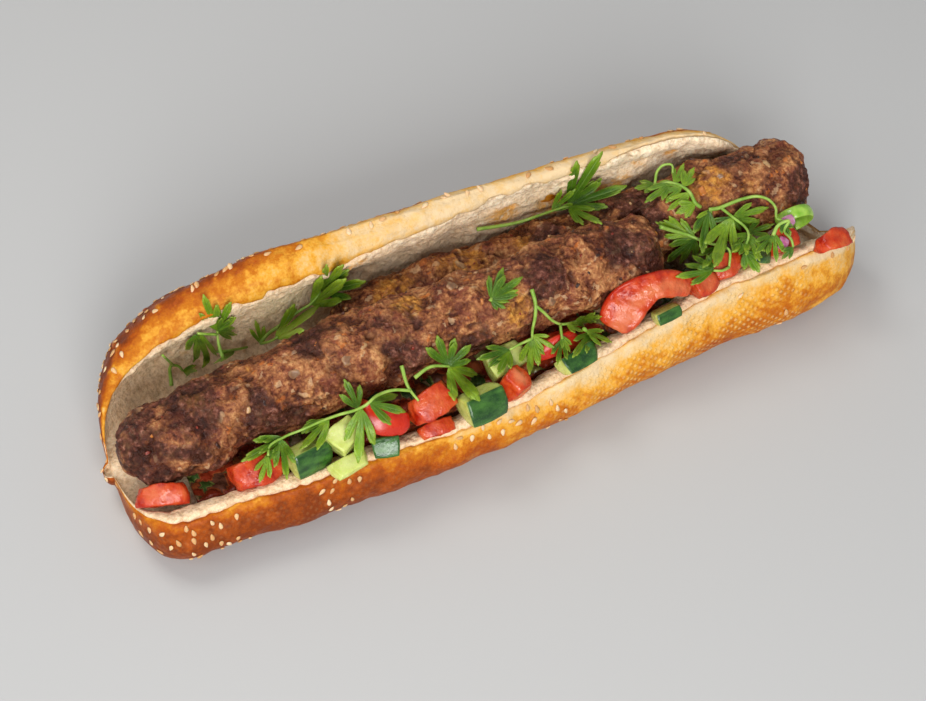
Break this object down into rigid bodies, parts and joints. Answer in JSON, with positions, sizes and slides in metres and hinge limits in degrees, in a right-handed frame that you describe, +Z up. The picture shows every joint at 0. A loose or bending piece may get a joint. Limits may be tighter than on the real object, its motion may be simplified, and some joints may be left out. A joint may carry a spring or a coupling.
{
  "type": "minced-meat kebab sandwich in a long sesame roll",
  "caption": "Long sesame roll slit along its front and opened, holding minced-meat kebabs laid end past end over chopped tomato and cucumber, with parsley sprigs.",
  "frame": {"origin": "middle of the sandwich's box, at the height of the roll's flat base", "axes": "+X along the roll towards the end where the back kebab shows, +Y from the open front to the hinge at the back, +Z up"},
  "size_m": [0.2828, 0.0934, 0.0614],
  "materials": {
    "crust": "baked crust, cream to deep orange-brown, with pale porous crumb on its cut faces and sesame seeds",
    "meat": "coarse grilled minced meat, brown with charred and oily patches",
    "salad": "wet chopped salad in shade",
    "tomato": "wet red tomato, skin smooth and flesh grainy",
    "cucumber": "wet cucumber, dark green skin and pale flesh",
    "pepper": "translucent green pepper",
    "onion": "wet purple onion",
    "parsley": "fresh flat parsley, pale veins and paler undersides"
  },
  "bodies": {
    "root": {"bread_roll": "crust", "cucumber_03": "cucumber", "cucumber_04": "cucumber", "cucumber_05": "cucumber", "cucumber_06": "cucumber", "cucumber_10": "cucumber", "cucumber_12": "cucumber", "cucumber_14": "cucumber", "cucumber_15": "cucumber", "cucumber_18": "cucumber", "kebab_back": "meat", "kebab_front": "meat", "onion_21": "onion", "onion_22": "onion", "parsley_01": "parsley", "parsley_02": "parsley", "parsley_03": "parsley", "parsley_04": "parsley", "parsley_05": "parsley", "parsley_06": "parsley", "parsley_07": "parsley", "parsley_08": "parsley", "parsley_09": "parsley", "parsley_10": "parsley", "parsley_11": "parsley", "parsley_12": "parsley", "parsley_13": "parsley", "pepper_ring": "pepper", "salad_bed": "salad", "tomato_01": "tomato", "tomato_02": "tomato", "tomato_07": "tomato", "tomato_08": "tomato", "tomato_09": "tomato", "tomato_11": "tomato", "tomato_13": "tomato", "tomato_16": "tomato", "tomato_17": "tomato", "tomato_19": "tomato", "tomato_20": "tomato", "tomato_slice": "tomato"}
  },
  "joints": []
}
